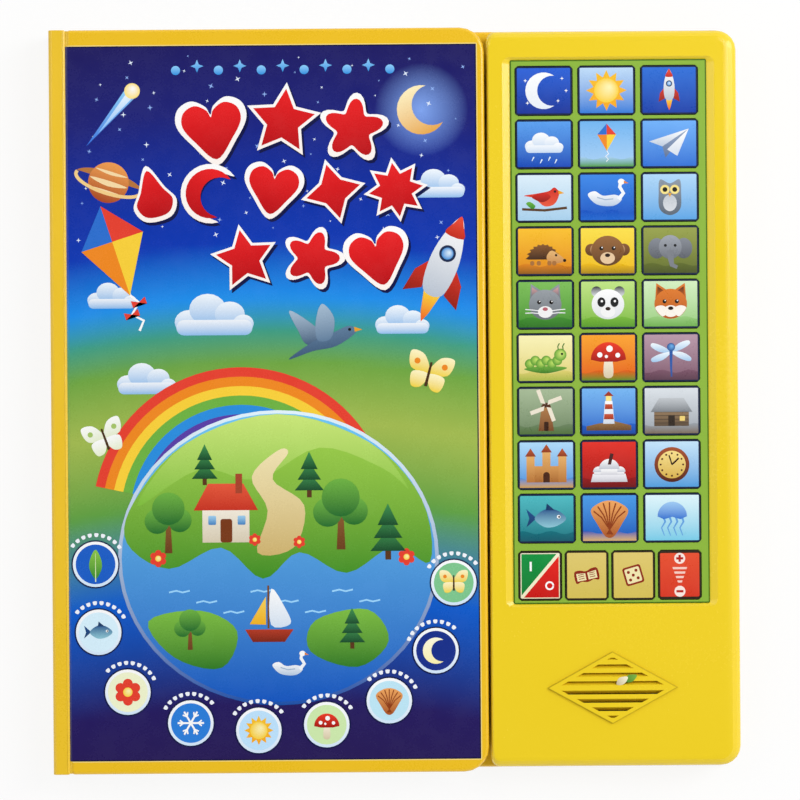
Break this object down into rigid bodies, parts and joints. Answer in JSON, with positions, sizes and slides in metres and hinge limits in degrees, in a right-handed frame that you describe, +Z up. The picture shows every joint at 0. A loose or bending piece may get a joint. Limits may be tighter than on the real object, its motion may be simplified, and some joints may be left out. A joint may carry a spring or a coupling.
{
  "type": "sound book",
  "caption": "Children's board book with a hinged front cover and a side sound module with picture keys, control keys and a diamond speaker grille.",
  "frame": {"origin": "middle of the book's footprint, on the underside of the back board", "axes": "+X to the reader's right, from the spine to the sound module; +Y to the top of the page; +Z up out of the front cover"},
  "size_m": [0.2642, 0.285, 0.0223],
  "materials": {
    "printed_board": "glossy laminated print",
    "page_board": "satin",
    "yellow_plastic": "smooth moulded",
    "green_film": "printed film",
    "picture_film": "printed film",
    "cream_film": "printed film",
    "green_key_film": "printed film",
    "red_film": "printed film",
    "grey_rubber": "matte",
    "board_laminate": "satin",
    "black_plastic": "satin",
    "steel": "plated",
    "magnet": "matte",
    "cone_paper": "matte",
    "cell_jacket": "printed jacket"
  },
  "bodies": {
    "case": {"spine_cover": "printed_board", "back_cover": "printed_board", "page_block": "page_board", "upper_housing": "yellow_plastic", "lower_housing": "yellow_plastic", "keypad_label": "green_film", "rubber_keypad": "grey_rubber", "circuit_board": "board_laminate", "sound_chip": "black_plastic", "speaker_basket": "steel", "speaker_cone": "cone_paper", "speaker_magnet": "magnet", "battery_1": "cell_jacket", "battery_2": "cell_jacket", "battery_bridge_contact": "steel", "battery_left_contact": "steel", "battery_right_contact": "steel", "battery_door": "yellow_plastic", "battery_door_screw": "steel", "case_screw_1": "steel", "case_screw_2": "steel", "case_screw_3": "steel", "case_screw_4": "steel", "case_screw_5": "steel", "case_screw_6": "steel"},
    "cover": {"front_cover": "printed_board"},
    "picture_key_r1c1": {"picture_key_r1c1": "picture_film"},
    "picture_key_r1c2": {"picture_key_r1c2": "picture_film"},
    "picture_key_r1c3": {"picture_key_r1c3": "picture_film"},
    "picture_key_r2c1": {"picture_key_r2c1": "picture_film"},
    "picture_key_r2c2": {"picture_key_r2c2": "picture_film"},
    "picture_key_r2c3": {"picture_key_r2c3": "picture_film"},
    "picture_key_r3c1": {"picture_key_r3c1": "picture_film"},
    "picture_key_r3c2": {"picture_key_r3c2": "picture_film"},
    "picture_key_r3c3": {"picture_key_r3c3": "picture_film"},
    "picture_key_r4c1": {"picture_key_r4c1": "picture_film"},
    "picture_key_r4c2": {"picture_key_r4c2": "picture_film"},
    "picture_key_r4c3": {"picture_key_r4c3": "picture_film"},
    "picture_key_r5c1": {"picture_key_r5c1": "picture_film"},
    "picture_key_r5c2": {"picture_key_r5c2": "picture_film"},
    "picture_key_r5c3": {"picture_key_r5c3": "picture_film"},
    "picture_key_r6c1": {"picture_key_r6c1": "picture_film"},
    "picture_key_r6c2": {"picture_key_r6c2": "picture_film"},
    "picture_key_r6c3": {"picture_key_r6c3": "picture_film"},
    "picture_key_r7c1": {"picture_key_r7c1": "picture_film"},
    "picture_key_r7c2": {"picture_key_r7c2": "picture_film"},
    "picture_key_r7c3": {"picture_key_r7c3": "picture_film"},
    "picture_key_r8c1": {"picture_key_r8c1": "picture_film"},
    "picture_key_r8c2": {"picture_key_r8c2": "picture_film"},
    "picture_key_r8c3": {"picture_key_r8c3": "picture_film"},
    "picture_key_r9c1": {"picture_key_r9c1": "picture_film"},
    "picture_key_r9c2": {"picture_key_r9c2": "picture_film"},
    "picture_key_r9c3": {"picture_key_r9c3": "picture_film"},
    "power_key": {"power_key": "green_key_film"},
    "study_key": {"study_key": "cream_film"},
    "game_key": {"game_key": "cream_film"},
    "volume_key": {"volume_key": "red_film"}
  },
  "joints": [
    {"name": "cover_hinge", "type": "hinge", "parent": "case", "child": "cover", "pos_m": [-0.1257, 0, 0.02113], "axis": [0, -1, 0], "range_deg": [0, 180]},
    {"name": "picture_key_r1c1_press", "type": "slide", "parent": "case", "child": "picture_key_r1c1", "axis": [0, 0, -1], "range_m": [0, 0.0008], "stiffness_N_per_m": 400, "springref_m": -0.0005},
    {"name": "picture_key_r1c2_press", "type": "slide", "parent": "case", "child": "picture_key_r1c2", "axis": [0, 0, -1], "range_m": [0, 0.0008], "stiffness_N_per_m": 400, "springref_m": -0.0005},
    {"name": "picture_key_r1c3_press", "type": "slide", "parent": "case", "child": "picture_key_r1c3", "axis": [0, 0, -1], "range_m": [0, 0.0008], "stiffness_N_per_m": 400, "springref_m": -0.0005},
    {"name": "picture_key_r2c1_press", "type": "slide", "parent": "case", "child": "picture_key_r2c1", "axis": [0, 0, -1], "range_m": [0, 0.0008], "stiffness_N_per_m": 400, "springref_m": -0.0005},
    {"name": "picture_key_r2c2_press", "type": "slide", "parent": "case", "child": "picture_key_r2c2", "axis": [0, 0, -1], "range_m": [0, 0.0008], "stiffness_N_per_m": 400, "springref_m": -0.0005},
    {"name": "picture_key_r2c3_press", "type": "slide", "parent": "case", "child": "picture_key_r2c3", "axis": [0, 0, -1], "range_m": [0, 0.0008], "stiffness_N_per_m": 400, "springref_m": -0.0005},
    {"name": "picture_key_r3c1_press", "type": "slide", "parent": "case", "child": "picture_key_r3c1", "axis": [0, 0, -1], "range_m": [0, 0.0008], "stiffness_N_per_m": 400, "springref_m": -0.0005},
    {"name": "picture_key_r3c2_press", "type": "slide", "parent": "case", "child": "picture_key_r3c2", "axis": [0, 0, -1], "range_m": [0, 0.0008], "stiffness_N_per_m": 400, "springref_m": -0.0005},
    {"name": "picture_key_r3c3_press", "type": "slide", "parent": "case", "child": "picture_key_r3c3", "axis": [0, 0, -1], "range_m": [0, 0.0008], "stiffness_N_per_m": 400, "springref_m": -0.0005},
    {"name": "picture_key_r4c1_press", "type": "slide", "parent": "case", "child": "picture_key_r4c1", "axis": [0, 0, -1], "range_m": [0, 0.0008], "stiffness_N_per_m": 400, "springref_m": -0.0005},
    {"name": "picture_key_r4c2_press", "type": "slide", "parent": "case", "child": "picture_key_r4c2", "axis": [0, 0, -1], "range_m": [0, 0.0008], "stiffness_N_per_m": 400, "springref_m": -0.0005},
    {"name": "picture_key_r4c3_press", "type": "slide", "parent": "case", "child": "picture_key_r4c3", "axis": [0, 0, -1], "range_m": [0, 0.0008], "stiffness_N_per_m": 400, "springref_m": -0.0005},
    {"name": "picture_key_r5c1_press", "type": "slide", "parent": "case", "child": "picture_key_r5c1", "axis": [0, 0, -1], "range_m": [0, 0.0008], "stiffness_N_per_m": 400, "springref_m": -0.0005},
    {"name": "picture_key_r5c2_press", "type": "slide", "parent": "case", "child": "picture_key_r5c2", "axis": [0, 0, -1], "range_m": [0, 0.0008], "stiffness_N_per_m": 400, "springref_m": -0.0005},
    {"name": "picture_key_r5c3_press", "type": "slide", "parent": "case", "child": "picture_key_r5c3", "axis": [0, 0, -1], "range_m": [0, 0.0008], "stiffness_N_per_m": 400, "springref_m": -0.0005},
    {"name": "picture_key_r6c1_press", "type": "slide", "parent": "case", "child": "picture_key_r6c1", "axis": [0, 0, -1], "range_m": [0, 0.0008], "stiffness_N_per_m": 400, "springref_m": -0.0005},
    {"name": "picture_key_r6c2_press", "type": "slide", "parent": "case", "child": "picture_key_r6c2", "axis": [0, 0, -1], "range_m": [0, 0.0008], "stiffness_N_per_m": 400, "springref_m": -0.0005},
    {"name": "picture_key_r6c3_press", "type": "slide", "parent": "case", "child": "picture_key_r6c3", "axis": [0, 0, -1], "range_m": [0, 0.0008], "stiffness_N_per_m": 400, "springref_m": -0.0005},
    {"name": "picture_key_r7c1_press", "type": "slide", "parent": "case", "child": "picture_key_r7c1", "axis": [0, 0, -1], "range_m": [0, 0.0008], "stiffness_N_per_m": 400, "springref_m": -0.0005},
    {"name": "picture_key_r7c2_press", "type": "slide", "parent": "case", "child": "picture_key_r7c2", "axis": [0, 0, -1], "range_m": [0, 0.0008], "stiffness_N_per_m": 400, "springref_m": -0.0005},
    {"name": "picture_key_r7c3_press", "type": "slide", "parent": "case", "child": "picture_key_r7c3", "axis": [0, 0, -1], "range_m": [0, 0.0008], "stiffness_N_per_m": 400, "springref_m": -0.0005},
    {"name": "picture_key_r8c1_press", "type": "slide", "parent": "case", "child": "picture_key_r8c1", "axis": [0, 0, -1], "range_m": [0, 0.0008], "stiffness_N_per_m": 400, "springref_m": -0.0005},
    {"name": "picture_key_r8c2_press", "type": "slide", "parent": "case", "child": "picture_key_r8c2", "axis": [0, 0, -1], "range_m": [0, 0.0008], "stiffness_N_per_m": 400, "springref_m": -0.0005},
    {"name": "picture_key_r8c3_press", "type": "slide", "parent": "case", "child": "picture_key_r8c3", "axis": [0, 0, -1], "range_m": [0, 0.0008], "stiffness_N_per_m": 400, "springref_m": -0.0005},
    {"name": "picture_key_r9c1_press", "type": "slide", "parent": "case", "child": "picture_key_r9c1", "axis": [0, 0, -1], "range_m": [0, 0.0008], "stiffness_N_per_m": 400, "springref_m": -0.0005},
    {"name": "picture_key_r9c2_press", "type": "slide", "parent": "case", "child": "picture_key_r9c2", "axis": [0, 0, -1], "range_m": [0, 0.0008], "stiffness_N_per_m": 400, "springref_m": -0.0005},
    {"name": "picture_key_r9c3_press", "type": "slide", "parent": "case", "child": "picture_key_r9c3", "axis": [0, 0, -1], "range_m": [0, 0.0008], "stiffness_N_per_m": 400, "springref_m": -0.0005},
    {"name": "power_key_press", "type": "slide", "parent": "case", "child": "power_key", "axis": [0, 0, -1], "range_m": [0, 0.0008], "stiffness_N_per_m": 400, "springref_m": -0.0005},
    {"name": "study_key_press", "type": "slide", "parent": "case", "child": "study_key", "axis": [0, 0, -1], "range_m": [0, 0.0008], "stiffness_N_per_m": 400, "springref_m": -0.0005},
    {"name": "game_key_press", "type": "slide", "parent": "case", "child": "game_key", "axis": [0, 0, -1], "range_m": [0, 0.0008], "stiffness_N_per_m": 400, "springref_m": -0.0005},
    {"name": "volume_key_rock", "type": "hinge", "parent": "case", "child": "volume_key", "pos_m": [0.10812, -0.06768, 0.01758], "axis": [1, 0, 0], "range_deg": [-2.5, 2.5], "stiffness_Nm_per_rad": 0.05}
  ]
}
